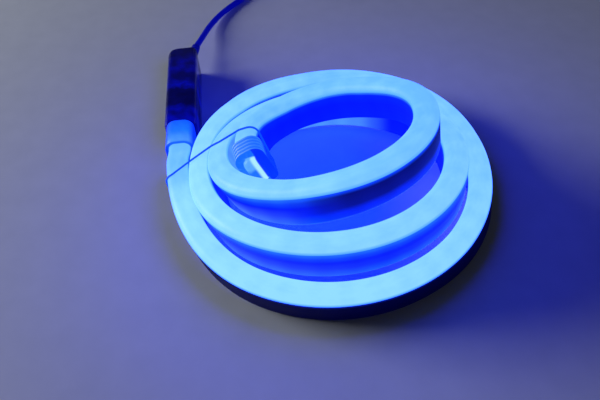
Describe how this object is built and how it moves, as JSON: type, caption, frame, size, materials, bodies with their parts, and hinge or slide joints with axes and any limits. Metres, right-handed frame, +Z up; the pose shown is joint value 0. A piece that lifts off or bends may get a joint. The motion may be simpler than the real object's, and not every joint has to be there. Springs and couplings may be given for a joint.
{
  "type": "led neon flex",
  "caption": "Flat flexible light line in loose tied turns, with a luminous domed face, opaque channel, clear sleeve and connector on a mains lead, and a ribbed end cap.",
  "frame": {"origin": "middle of the footprint of the flex, its connector and cap, on the surface it lies on (the mains lead left out)", "axes": "+Z up, the luminous face upwards; +Y away from the coil along the lead-in and the connector; +X to the right"},
  "size_m": [0.2328, 0.4361, 0.0909],
  "materials": {
    "jacket": "extruded PVC, satin",
    "diffuser": "milky PVC, lit from inside",
    "clear_core": "clear PVC",
    "tape": "flexible circuit",
    "led": "lens",
    "black_part": "moulded",
    "copper": "drawn wire",
    "sleeve": "clear PVC, lit",
    "housing": "clear moulded shell",
    "board": "lacquered board",
    "pin_metal": "plated",
    "leg_metal": "tinned",
    "core_brown": "insulation",
    "core_blue": "insulation",
    "cord": "PVC sheath",
    "cap": "clear PVC, lit",
    "wire": "plastic-coated",
    "plug": "moulded",
    "plug_metal": "nickel-plated"
  },
  "bodies": {
    "root": {"jacket": "jacket", "diffuser": "diffuser", "light_core": "clear_core", "led_tape": "tape", "leds": "led", "tape_resistors": "black_part", "bus_wire_pos": "copper", "bus_wire_neg": "copper", "front_sleeve": "sleeve", "connector_base": "housing", "connector_lid": "housing", "circuit_board": "board", "rectifier": "black_part", "rectifier_legs": "leg_metal", "contact_pin_pos": "pin_metal", "contact_pin_neg": "pin_metal", "lead_core_live": "core_brown", "lead_core_neutral": "core_blue", "strain_relief": "cord", "end_cap": "cap", "tie_wire": "wire", "power_cord": "cord", "cord_coil": "cord", "cord_tie": "black_part", "plug_lead": "cord", "plug_body": "plug", "plug_pin_live": "plug_metal", "plug_pin_neutral": "plug_metal"}
  },
  "joints": []
}
